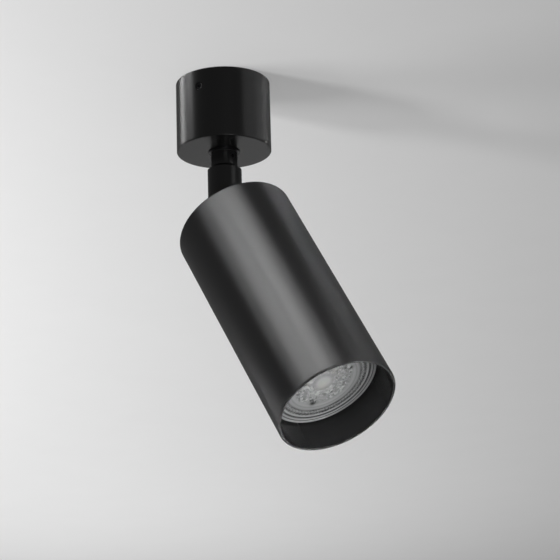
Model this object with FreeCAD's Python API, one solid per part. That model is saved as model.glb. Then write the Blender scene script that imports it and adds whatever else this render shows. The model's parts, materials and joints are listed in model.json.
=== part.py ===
import FreeCAD, Part
import math
import os
from FreeCAD import Vector

# Surface mounted ceiling spotlight: a round canopy, a swivel stem, a tilting tubular head and its lamp.
# Millimetres and degrees. The origin is the centre of the face that meets the ceiling, +Z points up into
# the ceiling, the pan axis is Z, the tilt axis is parallel to Y, and the head leans towards +X.
# The canopy's own pieces are drawn with the bracket along Y, then turned. The head's and the lamp's are
# drawn hanging straight down from the pivot at the origin, then tilted and moved to the pivot.

# ---- attitude
rest_tilt = 32.0
canopy_turn = 16.5
pan_limit = 160.0
twist_angle = 45.0

# ---- clearances
thread_gap = 0.05
running_gap = 0.05
press_gap = 0.03
pass_gap = 0.2
drop_in_gap = 0.05
moving_gap = 0.3
bare_gap = 0.02
slot_spare = 0.5
ear_gap = 0.6
lamp_to_tube = 1.0

# ---- how far a cutting shape runs past the faces that it opens
overcut = 1.0

# ---- canopy cup
canopy_r = 22.0
canopy_height = 34.0
canopy_wall = 1.5
canopy_floor = 2.0
canopy_edge = 0.35

# ---- screws and nuts: thread and head radii, widths across flats, and the turn that puts flats square to X
m3_r = 1.5
m3_head_r = 2.75
m3_head_height = 2.0
m3_nut_flats = 5.5
m3_nut_height = 2.4
m2_r = 1.0
m2_head_r = 1.9
m2_head_height = 1.3
key_flats = 1.5
key_depth = 1.0
slot_width = 0.6
slot_depth = 0.6
nut_turn = 30.0

# ---- ceiling bracket
bracket_thickness = 1.5
bracket_width = 12.0
bracket_to_cup = 0.3
tab_drop = 12.0
ceiling_hole_pcd = 29.0
ceiling_hole_r = 2.1
side_screw_drop = 8.3
side_screw_recess = 0.5
side_screw_past_tab = 0.9

# ---- terminal block
pole_count = 3
pole_pitch = 6.5
pole_bore_r = 1.25
pole_drop = 5.0
clamp_width = 3.6
clamp_height = 5.4
clamp_length = 13.0
wire_stop = 1.0
block_end_wall = 1.5
block_height = 12.0
entry_r = 1.6
clamp_screw_r = 1.25
clamp_screw_spread = 3.6
clamp_screw_length = 4.2
fixing_screw_into_strap = 1.2

# ---- swivel
nipple_r = 4.0
nipple_bore_r = 2.4
nipple_above_nut = 1.0
nipple_below_flange = 8.4
flange_r = 7.3
flange_thickness = 0.6
swivel_washer_thickness = 0.3
nut_flats = 13.0
nut_height = 3.5
tooth_washer_r = 6.6
tooth_washer_thickness = 0.8
groove_depth = 0.9
groove_width = 2.0
keeper_below_stem_top = 2.5
keeper_tip_r = 0.75
keeper_tip_in = 0.7
keeper_recess = 0.35
lug_spare_angle = 1.0

# ---- stem and knuckle
stem_r = 6.1
shoulder_below_stem_top = 6.7
shoulder_height = 1.5
knuckle_r = 7.9
pivot_below_stem_top = 27.1
lead_passage_r = 2.8
cheek_inside = 2.9
cheek_outside = 4.8
friction_disc_thickness = 0.3
friction_disc_r = 5.5
ear_land = 1.2
pivot_shoulder_r = 2.0
pivot_head_r = 2.6
pivot_head_height = 1.1
pivot_key_flats = 2.0
pivot_key_depth = 0.8

# ---- tongue
tongue_r = 5.9
tongue_flange = 4.0
heel_width = 3.0
heel_gap = 0.05
spigot_r = 4.0
spigot_past_nut = 1.0

# ---- head tube and cap
head_r = 27.5
head_wall = 1.5
head_length = 115.0
head_edge = 0.4
end_cap_thickness = 3.0

# ---- bracket of the lampholder
holder_bracket_thickness = 1.0
holder_bracket_width = 14.0
bracket_past_screw = 4.5
foot_reach = 7.7

# ---- lampholder
holder_r = 14.0
holder_cover_height = 4.0
holder_body_height = 12.0
holder_front_wall = 4.4
holder_roof = 3.0
holder_screw_x = 9.5
holder_head_sink = 0.2
contact_width = 3.8
contact_thickness = 0.5
crimp_r = 1.3
crimp_start = 0.5

# ---- lamp
pin_spread = 10.0
pin_shank_r = 1.5
pin_head_r = 2.5
pin_length = 7.0
pin_head_height = 2.4
pin_rooted = 2.5
lamp_length = 47.0
lamp_recess = 14.2
lamp_neck_r = 12.0
lamp_neck_length = 7.0
lamp_wall = 1.2
lamp_rim_step = 1.6
lamp_rim_height = 7.4
lamp_base_thickness = 3.5
lens_thickness = 2.4
lens_rim_height = 3.6
lens_rim_width = 2.2
lens_bead = 0.4
lens_boss_r = 12.5
lens_boss_height = 1.6
led_board_thickness = 1.6
led_board_ledge = 2.0
led_count = 4
led_ring_r = 6.0
led_first_angle = 45.0
led_size = 3.0
led_height = 0.8
driver_width = 15.0
driver_thickness = 1.6
driver_in_base = 1.0

# ---- leads and sleeves
lead_r = 0.85
bundle_gap = 0.07
sleeve_gap = 0.1
sleeve_wall = 0.3
lead_straight = 1.0
lead_bend_r = 5.5
earth_bend_r = 6.3
nipple_bend_r = 5.0
spread_reach = 2.4
hairpin_share = 0.98
lead_past_screw = 1.6
sleeve_above_nipple = 1.2
pivot_bend_reach = 5.0
sleeve_below_spigot = 2.2
spread_start = 3.0
spread_end = 4.0
earth_ring_r = 2.9
earth_ring_thickness = 0.6
earth_ring_x = 10.0
earth_barrel_out = 5.2
earth_barrel_length = 3.5
earth_tail_width = 2.2
earth_screw_past_strap = 2.3

# ---- places that follow from the sizes above
cup_inner_r = canopy_r - canopy_wall
strap_under = -bracket_thickness
bracket_reach = math.sqrt((cup_inner_r - bracket_to_cup) ** 2 - (bracket_width / 2) ** 2)
block_half_depth = clamp_length / 2 + block_end_wall
block_half_length = pole_count * pole_pitch / 2
block_bottom = strap_under - block_height
pole_z = strap_under - pole_drop
pole_places = [(n - (pole_count - 1) / 2) * pole_pitch for n in range(pole_count)]

canopy_bottom = -canopy_height
cup_floor_top = canopy_bottom + canopy_floor
tooth_washer_top = cup_floor_top + tooth_washer_thickness
nipple_nut_top = tooth_washer_top + nut_height
nipple_top = nipple_nut_top + nipple_above_nut
flange_bottom = canopy_bottom - flange_thickness
nipple_bottom = flange_bottom - nipple_below_flange
stem_top = flange_bottom - swivel_washer_thickness
stem_bore_floor = nipple_bottom - moving_gap
groove_floor_r = nipple_r - groove_depth
keeper_z = stem_top - keeper_below_stem_top
shoulder_top = stem_top - shoulder_below_stem_top
pivot_z = stem_top - pivot_below_stem_top
slot_above_pivot = tongue_r + slot_spare
slot_floor = pivot_z + slot_above_pivot
slot_half_width = cheek_outside + friction_disc_thickness
ear_seat = slot_half_width + ear_land

tongue_floor_drop = knuckle_r + ear_gap
head_top_drop = tongue_floor_drop + tongue_flange
head_top = -head_top_drop
head_bottom = head_top - head_length
cap_inside = head_top - end_cap_thickness
holder_web_bottom = cap_inside - holder_bracket_thickness
spigot_washer_bottom = holder_web_bottom - tooth_washer_thickness
spigot_nut_bottom = spigot_washer_bottom - nut_height
spigot_end = spigot_nut_bottom - spigot_past_nut
lamp_r = head_r - head_wall - lamp_to_tube
lamp_cone_top_r = lamp_r - lamp_rim_step
lamp_front = head_bottom + lamp_recess
holder_front = lamp_front + lamp_length
cover_front = holder_front + holder_body_height
holder_back = cover_front + holder_cover_height
foot_bottom = holder_back
holder_bracket_reach = holder_screw_x + bracket_past_screw
chamber_top = cover_front - holder_roof
chamber_bottom = holder_front + holder_front_wall
pin_r_place = pin_spread / 2
pin_top = holder_front + pin_length
contact_bottom = pin_top + drop_in_gap
contact_top = contact_bottom + contact_thickness
sleeve_end = spigot_end - sleeve_below_spigot
bundle_r = 2 * lead_r / math.sqrt(3) + bundle_gap
sleeve_bore_r = bundle_r + lead_r + sleeve_gap
sleeve_r = sleeve_bore_r + sleeve_wall


def cylinder(radius, low, high, x=0.0, y=0.0):
    """Upright cylinder between two heights."""
    return Part.makeCylinder(radius, high - low, Vector(x, y, low), Vector(0, 0, 1))


def tube(outer, inner, low, high, x=0.0, y=0.0):
    """Upright tube between two heights."""
    return cylinder(outer, low, high, x, y).cut(cylinder(inner, low - overcut, high + overcut, x, y))


def bar(radius, start, end):
    """Round bar from one point to another."""
    start, end = Vector(*start), Vector(*end)
    return Part.makeCylinder(radius, (end - start).Length, start, end - start)


def box(x, y, z):
    """Box between the low and high value on each axis."""
    return Part.makeBox(x[1] - x[0], y[1] - y[0], z[1] - z[0], Vector(x[0], y[0], z[0]))


def turned(outline, angle=360.0, start=0.0):
    """Solid of revolution about Z of an outline of (radius, height) points, from a start angle."""
    face = Part.Face(Part.makePolygon([Vector(r, 0, z) for r, z in outline + outline[:1]]))
    solid = face.revolve(Vector(0, 0, 0), Vector(0, 0, 1), angle)
    solid.rotate(Vector(0, 0, 0), Vector(0, 0, 1), start)
    return solid


def hexagon(flats, start, end, first=0.0):
    """Hexagonal bar from one point to another, first turned about its own axis."""
    start, end = Vector(*start), Vector(*end)
    corner = flats / math.sqrt(3)
    angles = [math.radians(first + 60 * n) for n in range(7)]
    corners = [Vector(corner * math.cos(a), corner * math.sin(a), 0) for a in angles]
    solid = Part.Face(Part.makePolygon(corners)).extrude(Vector(0, 0, (end - start).Length))
    solid.Placement = FreeCAD.Placement(start, FreeCAD.Rotation(Vector(0, 0, 1), end - start))
    return solid


def both_ends(shape):
    """The shape and its copy half a turn round Z."""
    copy = shape.copy()
    copy.rotate(Vector(0, 0, 0), Vector(0, 0, 1), 180)
    return [shape, copy]


def in_canopy(shape):
    """Turns a piece of the canopy from its bracket's frame into the ceiling's."""
    moved = shape.copy()
    moved.rotate(Vector(0, 0, 0), Vector(0, 0, 1), canopy_turn)
    return moved


def in_head(shape):
    """Tilts a piece that hangs from the pivot, and moves it to the pivot's place."""
    moved = shape.copy()
    moved.rotate(Vector(0, 0, 0), Vector(0, 1, 0), -rest_tilt)
    moved.translate(Vector(0, 0, pivot_z))
    return moved


def save(name, *solids):
    """Writes one piece, or a group of like pieces, as a STEP file named after it."""
    for solid in solids:
        if not solid.isValid() or len(solid.Solids) != 1:
            raise ValueError(f"{name} isn't one sound solid")
    shape = solids[0].Solids[0] if len(solids) == 1 else Part.makeCompound([s.Solids[0] for s in solids])
    shape.exportStep(os.path.join("parts", name + ".step"))


def rounded_path(points, radii):
    """Straight runs through the points, with an arc of the given radius at each inner point."""
    points = [Vector(*p) for p in points]
    edges = []
    here = points[0]
    for before, corner, after, radius in zip(points, points[1:], points[2:], radii):
        back = (before - corner).normalize()
        ahead = (after - corner).normalize()
        half = back.getAngle(ahead) / 2
        reach = radius / math.tan(half)
        start = corner + back * reach
        end = corner + ahead * reach
        inward = (back + ahead).normalize()
        middle = corner + inward * (radius / math.sin(half) - radius)
        if (start - here).Length > bare_gap:
            edges.append(Part.LineSegment(here, start).toShape())
        else:
            start = here
        edges.append(Part.Arc(start, middle, end).toShape())
        here = end
    edges.append(Part.LineSegment(here, points[-1]).toShape())
    return Part.Wire(edges)


def lead(name, points, radii):
    """Round lead along a rounded path. Prints its length, its tightest bend and how true its volume is."""
    path = rounded_path(points, radii)
    first = (Vector(*points[1]) - Vector(*points[0])).normalize()
    section = Part.Wire(Part.makeCircle(lead_r, Vector(*points[0]), first))
    solid = path.makePipeShell([section], True, False)
    ratio = solid.Volume / (math.pi * lead_r**2 * path.Length)
    print(f"{name}: length {path.Length:.1f}, tightest {min(radii):.1f}, volume ratio {ratio:.4f}")
    return solid


def bent_rod(radius, offset_x=0.0, offset_y=0.0):
    """Rod round the tilt pivot: from above it, in the stem's line, to below it, in the head's line.

    The middle line bends in the XZ plane with equal reaches, and the rod runs beside it at an offset.
    """
    tilt = math.radians(rest_tilt)
    bend_r = pivot_bend_reach / math.tan(tilt / 2)
    top = pivot_z + pivot_bend_reach
    circle = Part.Wire(Part.makeCircle(radius, Vector(offset_x, offset_y, top), Vector(0, 0, 1)))
    centre = Vector(bend_r, 0, top)
    return Part.Face(circle).revolve(centre, Vector(0, -1, 0), rest_tilt)


def bundle_place(n, turn=0.0):
    """Place of one of the three leads round the middle of their sleeve: live, earth, neutral."""
    angle = math.radians(360 / pole_count * (n - 1) - turn)
    return bundle_r * math.cos(angle), bundle_r * math.sin(angle)


# ---- canopy

def canopy_cup():
    """Turned cup, open at the top, with the nipple's hole and two side-screw holes."""
    outline = [
        (0, canopy_bottom),
        (canopy_r - canopy_edge, canopy_bottom),
        (canopy_r, canopy_bottom + canopy_edge),
        (canopy_r, -canopy_edge),
        (canopy_r - canopy_edge, 0),
        (cup_inner_r, 0),
        (cup_inner_r, cup_floor_top),
        (0, cup_floor_top),
    ]
    cup = turned(outline)
    cup = cup.cut(cylinder(nipple_r + pass_gap, canopy_bottom - overcut, cup_floor_top + overcut))
    past = canopy_r + overcut
    across = bar(m3_r + pass_gap, (0, -past, -side_screw_drop), (0, past, -side_screw_drop))
    return cup.cut(across)


def ceiling_bracket():
    """Strap with both ends bent down, holes for the ceiling screws, the block's and the side screws."""
    half = bracket_width / 2
    strap = box((-half, half), (-bracket_reach, bracket_reach), (strap_under, 0))
    for side in (-1, 1):
        ends = sorted((side * bracket_reach, side * (bracket_reach - bracket_thickness)))
        strap = strap.fuse(box((-half, half), ends, (-tab_drop, strap_under)))
        low = strap_under - overcut
        strap = strap.cut(cylinder(ceiling_hole_r, low, overcut, 0, side * ceiling_hole_pcd / 2))
        strap = strap.cut(cylinder(m2_r + thread_gap, low, overcut, 0, side * pole_pitch / 2))
    past = bracket_reach + overcut
    across = bar(m3_r + thread_gap, (0, -past, -side_screw_drop), (0, past, -side_screw_drop))
    return strap.cut(across).removeSplitter()


def grub(radius, start, end, flats=key_flats, depth=key_depth):
    """Grub screw from its tip to its keyed end."""
    start, end = Vector(*start), Vector(*end)
    inner = end - (end - start).normalize() * depth
    return bar(radius, start, end).cut(hexagon(flats, inner, end + (end - start)))


def side_screws():
    """Two grub screws through the cup's side into the bracket's tabs."""
    tip = bracket_reach - bracket_thickness - side_screw_past_tab
    head = canopy_r - side_screw_recess
    return both_ends(grub(m3_r, (0, tip, -side_screw_drop), (0, head, -side_screw_drop)))


def clamp_screw_places():
    """Places of the clamp screws: the supply's at -X, the leads' at +X, for each pole."""
    return [(side * clamp_screw_spread, y, side) for y in pole_places for side in (-1, 1)]


def fixing_places():
    """Places of the two screws between the poles."""
    return [(0, side * pole_pitch / 2) for side in (-1, 1)]


def terminal_block():
    """Housing with a closed pocket for each clamp, wire entries, and wells for the screws."""
    block = box(
        (-block_half_depth, block_half_depth),
        (-block_half_length, block_half_length),
        (block_bottom, strap_under),
    )
    half = clamp_width / 2 + drop_in_gap
    tall = clamp_height / 2 + drop_in_gap
    long = clamp_length / 2 + drop_in_gap
    low = block_bottom - overcut
    past = block_half_depth + overcut
    for y in pole_places:
        block = block.cut(box((-long, long), (y - half, y + half), (pole_z - tall, pole_z + tall)))
        block = block.cut(bar(entry_r, (-past, y, pole_z), (past, y, pole_z)))
    for x, y, _ in clamp_screw_places():
        block = block.cut(cylinder(clamp_screw_r + pass_gap, low, pole_z, x, y))
    for x, y in fixing_places():
        block = block.cut(cylinder(m2_r + pass_gap / 2, low, strap_under + overcut, x, y))
        block = block.cut(cylinder(m2_head_r + pass_gap, low, block_bottom + m2_head_height, x, y))
    return block


def terminal_clamps():
    """Brass clamps, each bored from both ends up to a wire stop, and tapped twice from below."""
    clamps = []
    for y in pole_places:
        clamp = box(
            (-clamp_length / 2, clamp_length / 2),
            (y - clamp_width / 2, y + clamp_width / 2),
            (pole_z - clamp_height / 2, pole_z + clamp_height / 2),
        )
        for side in (-1, 1):
            x = side * clamp_screw_spread
            bore = bar(pole_bore_r, (side * wire_stop / 2, y, pole_z), (side * clamp_length, y, pole_z))
            well = cylinder(clamp_screw_r + thread_gap, pole_z - clamp_height, pole_z, x, y)
            clamp = clamp.cut(bore).cut(well)
        clamps.append(clamp)
    return clamps


def slotted(radius, low, high, x, y):
    """Upright screw with a driver's slot in its lower end."""
    half_length = radius + overcut
    half = slot_width / 2
    slot = box((x - half_length, x + half_length), (y - half, y + half), (low - overcut, low + slot_depth))
    return cylinder(radius, low, high, x, y).cut(slot)


def terminal_screws():
    """Clamp screws: backed off on the supply's side, down on the leads on the other."""
    screws = []
    for x, y, side in clamp_screw_places():
        reach = lead_r + bare_gap if side > 0 else pole_bore_r
        tip = pole_z - reach
        screws.append(slotted(clamp_screw_r, tip - clamp_screw_length, tip, x, y))
    return screws


def terminal_fixing_screws():
    """Two headed screws up through the block into the strap."""
    screws = []
    seat = block_bottom + m2_head_height
    for x, y in fixing_places():
        shank = cylinder(m2_r, seat, strap_under + fixing_screw_into_strap, x, y)
        screws.append(slotted(m2_head_r, block_bottom, seat, x, y).fuse(shank))
    return screws


def swivel_nipple():
    """Hollow nipple with a flange, and a groove for the keeper that a stop lug interrupts."""
    tip_half_angle = math.degrees(math.asin(keeper_tip_r / (groove_floor_r + nipple_r) * 2))
    lug_half = 180 - pan_limit - tip_half_angle - lug_spare_angle
    low = keeper_z - groove_width / 2
    high = keeper_z + groove_width / 2
    past = nipple_r + overcut
    outline = [(groove_floor_r, low), (past, low), (past, high), (groove_floor_r, high)]
    groove = turned(outline, 360 - 2 * lug_half, 180 + lug_half)
    nipple = cylinder(nipple_r, nipple_bottom, nipple_top)
    nipple = nipple.fuse(cylinder(flange_r, flange_bottom, canopy_bottom))
    nipple = nipple.cut(cylinder(nipple_bore_r, nipple_bottom - overcut, nipple_top + overcut))
    return nipple.cut(groove)


def lock_nut(low, high, bore):
    """Hexagonal nut with two flats square to X."""
    hole = cylinder(bore, low - overcut, high + overcut)
    return hexagon(nut_flats, (0, 0, low), (0, 0, high), nut_turn).cut(hole)


def m3_nut(low, high, x):
    """Small hexagonal nut with its bore."""
    hole = cylinder(m3_r + thread_gap, low - overcut, high + overcut, x)
    return hexagon(m3_nut_flats, (x, 0, low), (x, 0, high), nut_turn).cut(hole)


def upper_leads():
    """Live, earth and neutral leads from the block's lamp side, back under it and down into the nipple."""
    leads = []
    names = ("live_lead_upper", "earth_lead_upper", "neutral_lead_upper")
    start_x = clamp_screw_spread - lead_past_screw
    end_z = pivot_z + pivot_bend_reach
    for n, y in enumerate(pole_places):
        bend = earth_bend_r if y == 0 else lead_bend_r
        out_x = block_half_depth + lead_straight + bend
        back_z = pole_z - 2 * bend
        x1, y1 = bundle_place(n, canopy_turn)
        points = [(start_x, y, pole_z), (out_x, y, pole_z), (out_x, y, back_z)]
        points += [(x1, y1, back_z), (x1, y1, end_z)]
        leads.append((names[n], lead(names[n], points, [bend, bend * hairpin_share, nipple_bend_r])))
    return leads


# ---- stem

def stem_fork():
    """Sleeve over the nipple, shoulder, and a knuckle forked for the tongue."""
    lowest = pivot_z - knuckle_r
    wide = knuckle_r + overcut
    outline = [
        (0, stem_top),
        (stem_r, stem_top),
        (stem_r, shoulder_top),
        (knuckle_r, shoulder_top - shoulder_height),
        (knuckle_r, lowest),
        (0, lowest),
    ]
    body = turned(outline)
    side_view = box((-knuckle_r, knuckle_r), (-wide, wide), (pivot_z, stem_top + overcut))
    side_view = side_view.fuse(bar(knuckle_r, (0, -wide, pivot_z), (0, wide, pivot_z)))
    body = body.common(side_view)
    slot = box((-wide, wide), (-slot_half_width, slot_half_width), (lowest - overcut, slot_floor))
    body = body.cut(slot)
    body = body.cut(cylinder(nipple_r + running_gap, stem_bore_floor, stem_top + overcut))
    body = body.cut(cylinder(lead_passage_r, slot_floor - overcut, stem_bore_floor + overcut))
    body = body.cut(bar(pivot_shoulder_r + running_gap, (0, -wide, pivot_z), (0, wide, pivot_z)))
    for side in (-1, 1):
        seat = (0, side * ear_seat, pivot_z)
        body = body.cut(bar(pivot_head_r + pass_gap, seat, (0, side * wide, pivot_z)))
    keeper_start = (groove_floor_r, 0, keeper_z)
    return body.cut(bar(m3_r + thread_gap, keeper_start, (stem_r + overcut, 0, keeper_z)))


def keeper_grub_screw():
    """Grub screw whose dog point runs in the nipple's groove."""
    seat = nipple_r + running_gap + bare_gap
    body = grub(m3_r, (seat, 0, keeper_z), (stem_r - keeper_recess, 0, keeper_z))
    return body.fuse(bar(keeper_tip_r, (nipple_r - keeper_tip_in, 0, keeper_z), (seat, 0, keeper_z)))


def tilt_friction_discs():
    """Thin discs between the ears and the tongue's cheeks."""
    discs = []
    for side in (-1, 1):
        start = (0, side * cheek_outside, pivot_z)
        end = (0, side * slot_half_width, pivot_z)
        hole = bar(pivot_shoulder_r + pass_gap / 2, (0, 0, pivot_z), (0, side * knuckle_r, pivot_z))
        discs.append(bar(friction_disc_r, start, end).cut(hole))
    return discs


def knuckle_lead_sleeve():
    """Sleeve where it bends round the pivot."""
    return bent_rod(sleeve_r).cut(bent_rod(sleeve_bore_r))


def knuckle_leads():
    """The three leads where they bend round the pivot."""
    return [bent_rod(lead_r, *bundle_place(n)) for n in range(3)]


# ---- head, hanging straight down from a pivot at the origin

def tilt_tongue():
    """Two cheeks with a stop heel, on a flange with a threaded spigot."""
    top = tongue_floor_drop
    tongue = cylinder(knuckle_r, head_top, -top)
    tongue = tongue.fuse(cylinder(spigot_r, spigot_end, head_top))
    heel_top = slot_above_pivot - heel_gap
    for side in (-1, 1):
        y = sorted((side * cheek_inside, side * cheek_outside))
        cheek = box((-tongue_r, tongue_r), y, (-top, 0))
        cheek = cheek.fuse(bar(tongue_r, (0, y[0], 0), (0, y[1], 0)))
        cheek = cheek.fuse(box((-heel_width, 0), y, (0, heel_top)))
        hole = bar(m3_r + thread_gap, (0, y[0] - overcut, 0), (0, y[1] + overcut, 0))
        tongue = tongue.fuse(cheek.cut(hole))
    return tongue.cut(cylinder(lead_passage_r, spigot_end - overcut, 0)).removeSplitter()


def pivot_screws():
    """Shoulder screws: thread in the cheek, shoulder in the ear, head in the ear's counterbore."""
    thread_end = cheek_inside + bare_gap
    screw = bar(m3_r, (0, thread_end, 0), (0, cheek_outside, 0))
    screw = screw.fuse(bar(pivot_shoulder_r, (0, cheek_outside, 0), (0, ear_seat, 0)))
    screw_end = ear_seat + pivot_head_height
    screw = screw.fuse(bar(pivot_head_r, (0, ear_seat, 0), (0, screw_end, 0)))
    key = hexagon(pivot_key_flats, (0, screw_end - pivot_key_depth, 0), (0, screw_end + overcut, 0))
    return both_ends(screw.cut(key))


def head_tube():
    """Plain tube open at both ends, with small chamfers."""
    inner = head_r - head_wall
    outline = [
        (inner, head_top),
        (head_r - head_edge, head_top),
        (head_r, head_top - head_edge),
        (head_r, head_bottom + head_edge),
        (head_r - head_edge, head_bottom),
        (inner + head_edge, head_bottom),
        (inner, head_bottom + head_edge),
    ]
    return turned(outline)


def end_cap():
    """Round plate in the top of the tube, with the spigot's hole and the earth screw's tapped hole."""
    cap = cylinder(head_r - head_wall - press_gap, cap_inside, head_top)
    cap = cap.cut(cylinder(spigot_r + pass_gap / 2, cap_inside - overcut, 0))
    tapped_top = cap_inside + earth_screw_past_strap + bare_gap
    return cap.cut(cylinder(m3_r + thread_gap, cap_inside - overcut, tapped_top, earth_ring_x))


def holder_bracket():
    """Strap bent to a U with its feet turned in under the lampholder's back."""
    half = holder_bracket_width / 2
    reach = holder_bracket_reach
    web_low = holder_web_bottom
    strap = box((-reach, reach), (-half, half), (web_low, cap_inside))
    for side in (-1, 1):
        leg = sorted((side * reach, side * (reach - holder_bracket_thickness)))
        foot = sorted((side * reach, side * (reach - foot_reach)))
        strap = strap.fuse(box(leg, (-half, half), (foot_bottom, web_low)))
        foot_top = foot_bottom + holder_bracket_thickness
        strap = strap.fuse(box(foot, (-half, half), (foot_bottom, foot_top)))
        hole = cylinder(m3_r + pass_gap / 2, foot_bottom - overcut, foot_top + overcut, side * holder_screw_x)
        strap = strap.cut(hole)
    low = web_low - overcut
    high = cap_inside + overcut
    strap = strap.cut(cylinder(spigot_r + pass_gap / 2, low, high))
    strap = strap.cut(cylinder(m3_r + pass_gap / 2, low, high, earth_ring_x))
    return strap.removeSplitter()


def head_earth_terminal():
    """Ring terminal on the strap, with its crimp barrel hanging from its tail."""
    low = holder_web_bottom - earth_ring_thickness
    ring = cylinder(earth_ring_r, low, holder_web_bottom, earth_ring_x)
    half = earth_tail_width / 2
    tail = box((earth_ring_x - half, earth_ring_x + half), (0, earth_barrel_out), (low, holder_web_bottom))
    ring = ring.fuse(tail).cut(cylinder(m3_r + pass_gap / 2, low - overcut, 0, earth_ring_x))
    barrel_low = low - earth_barrel_length
    barrel = cylinder(crimp_r, barrel_low, holder_web_bottom, earth_ring_x, earth_barrel_out)
    bore = cylinder(lead_r + bare_gap, barrel_low - overcut, low, earth_ring_x, earth_barrel_out)
    return ring.fuse(barrel.cut(bore)).removeSplitter()


def head_earth_screw():
    """Screw through ring and strap into the end cap."""
    seat = holder_web_bottom - earth_ring_thickness
    shank_top = cap_inside + earth_screw_past_strap
    head = slotted(m3_head_r, seat - m3_head_height, seat, earth_ring_x, 0)
    return head.fuse(cylinder(m3_r, seat, shank_top, earth_ring_x))


def arc_chamber(radius, low, high):
    """Space that a pin sweeps, a given radius round it, from its locked place to where it drops out."""
    first = 90.0 - twist_angle
    outline = [(pin_r_place - radius, low), (pin_r_place + radius, low)]
    outline += [(pin_r_place + radius, high), (pin_r_place - radius, high)]
    sweep = turned(outline, twist_angle, first)
    for angle in (first, 90.0):
        turn = math.radians(angle)
        x = pin_r_place * math.cos(turn)
        y = pin_r_place * math.sin(turn)
        sweep = sweep.fuse(cylinder(radius, low, high, x, y))
    return sweep


def lampholder_body():
    """Ceramic body with a keyhole slot and a chamber for each pin, barrels' holes and two screw holes."""
    body = cylinder(holder_r, holder_front, cover_front)
    key_angle = math.radians(90.0 - twist_angle)
    key_x = pin_r_place * math.cos(key_angle)
    key_y = pin_r_place * math.sin(key_angle)
    low = holder_front - overcut
    high = cover_front + overcut
    spaces = both_ends(arc_chamber(pin_head_r + moving_gap, chamber_bottom, chamber_top))
    spaces += both_ends(arc_chamber(pin_shank_r + moving_gap, low, chamber_top))
    spaces += both_ends(cylinder(pin_head_r + moving_gap, low, chamber_top, key_x, key_y))
    spaces += both_ends(cylinder(crimp_r + pass_gap / 2, chamber_top - overcut, high, 0, pin_r_place))
    sink_top = holder_front + holder_head_sink + m3_head_height
    for x in (-holder_screw_x, holder_screw_x):
        spaces.append(cylinder(m3_r + pass_gap / 2, low, high, x))
        spaces.append(cylinder(m3_head_r + pass_gap, low, sink_top, x))
    for space in spaces:
        body = body.cut(space)
    return body


def lampholder_cover():
    """Ceramic back with two lead holes and two screw holes."""
    cover = cylinder(holder_r, cover_front, holder_back)
    low = cover_front - overcut
    high = holder_back + overcut
    for side in (-1, 1):
        cover = cover.cut(cylinder(lead_r + pass_gap, low, high, 0, side * pin_r_place))
        cover = cover.cut(cylinder(m3_r + pass_gap / 2, low, high, side * holder_screw_x))
    return cover


def lampholder_contacts():
    """Contact leaves over the pins, each with a crimp barrel for its lead."""
    half = contact_width / 2
    leaf = box((-half, half), (pin_r_place - half, pin_r_place + half), (contact_bottom, contact_top))
    barrel = tube(crimp_r, lead_r + bare_gap, contact_top, cover_front - crimp_start, 0, pin_r_place)
    return both_ends(leaf.fuse(barrel))


def lampholder_screws():
    """Screws from the lampholder's front, through the bracket's feet, to their nuts."""
    screws = []
    seat = holder_front + holder_head_sink + m3_head_height
    shank_top = foot_bottom + holder_bracket_thickness + m3_nut_height + bare_gap
    for x in (-holder_screw_x, holder_screw_x):
        head = slotted(m3_head_r, seat - m3_head_height, seat, x, 0)
        screws.append(head.fuse(cylinder(m3_r, seat, shank_top, x)))
    return screws


def lower_leads():
    """Live and neutral leads from the sleeve to their contacts, and the earth lead to its ring terminal."""
    leads = []
    start_z = -pivot_bend_reach
    split_z = sleeve_end - spread_start
    join_z = holder_back + spread_end
    for name, n, side in (("live_lead_lower", 0, -1), ("neutral_lead_lower", 2, 1)):
        x, y = bundle_place(n)
        end_y = side * pin_r_place
        turn = math.atan(math.hypot(x, end_y - y) / (split_z - join_z))
        bend = spread_reach / math.tan(turn / 2)
        points = [(x, y, start_z), (x, y, split_z), (0, end_y, join_z)]
        points.append((0, end_y, contact_top + bare_gap))
        leads.append((name, lead(name, points, [bend, bend])))
    x, y = bundle_place(1)
    across = Vector(earth_ring_x - x, earth_barrel_out - y, 0)
    bend = across.Length / 2 * hairpin_share
    turn_z = split_z - bend
    points = [(x, y, start_z), (x, y, turn_z), (earth_ring_x, earth_barrel_out, turn_z)]
    points.append((earth_ring_x, earth_barrel_out, holder_web_bottom - earth_ring_thickness - bare_gap))
    leads.append(("earth_lead_lower", lead("earth_lead_lower", points, [bend, bend])))
    return leads


# ---- lamp, in the same frame as the head

def lamp_shell():
    """Cup of the lamp: neck, cone and rim, one wall thick, with a ledge for the board."""
    neck_low = holder_front - lamp_neck_length
    cone_low = lamp_front + lamp_rim_height
    rim_low = lamp_front + lens_rim_height
    rim_r = lamp_r - lens_rim_width / 2
    outline = [
        (lamp_neck_r, holder_front),
        (lamp_neck_r, neck_low),
        (lamp_cone_top_r, cone_low),
        (lamp_r, cone_low - lens_rim_width / 2),
        (lamp_r, rim_low),
        (rim_r - lamp_wall, rim_low),
        (rim_r - lamp_wall, cone_low),
        (lamp_cone_top_r - lamp_wall - led_board_ledge, cone_low),
        (lamp_cone_top_r - lamp_wall - led_board_ledge, cone_low + lamp_wall),
        (lamp_neck_r - lamp_wall, neck_low),
        (lamp_neck_r - lamp_wall, holder_front),
    ]
    return turned(outline)


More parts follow.
